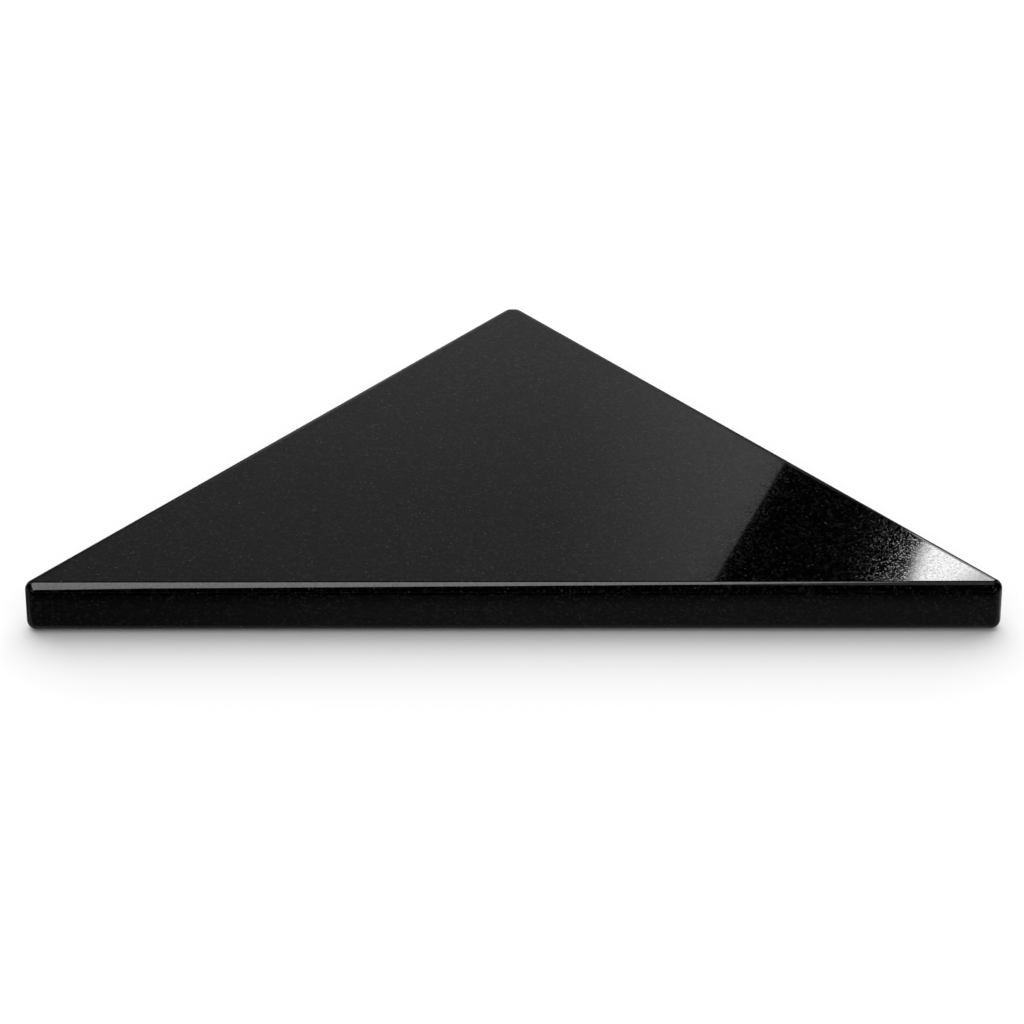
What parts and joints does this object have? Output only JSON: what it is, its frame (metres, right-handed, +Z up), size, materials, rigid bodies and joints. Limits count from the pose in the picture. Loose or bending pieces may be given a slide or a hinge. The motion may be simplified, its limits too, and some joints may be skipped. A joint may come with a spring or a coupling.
{
  "type": "granite slab",
  "caption": "Polished black granite slab, a right-angled triangle in plan, with eased edges; it lies flat as a work surface or sets into a corner as a shelf.",
  "frame": {"origin": "centre of the underside's bounding box, on the surface the slab rests on", "axes": "+X along the long front edge, to the right seen from the front; +Y back towards the right-angled corner; +Z up out of the polished top"},
  "size_m": [0.314, 0.1596, 0.0185],
  "materials": {
    "polished_granite": "polished"
  },
  "bodies": {
    "root": {"granite_slab": "polished_granite"}
  },
  "joints": []
}
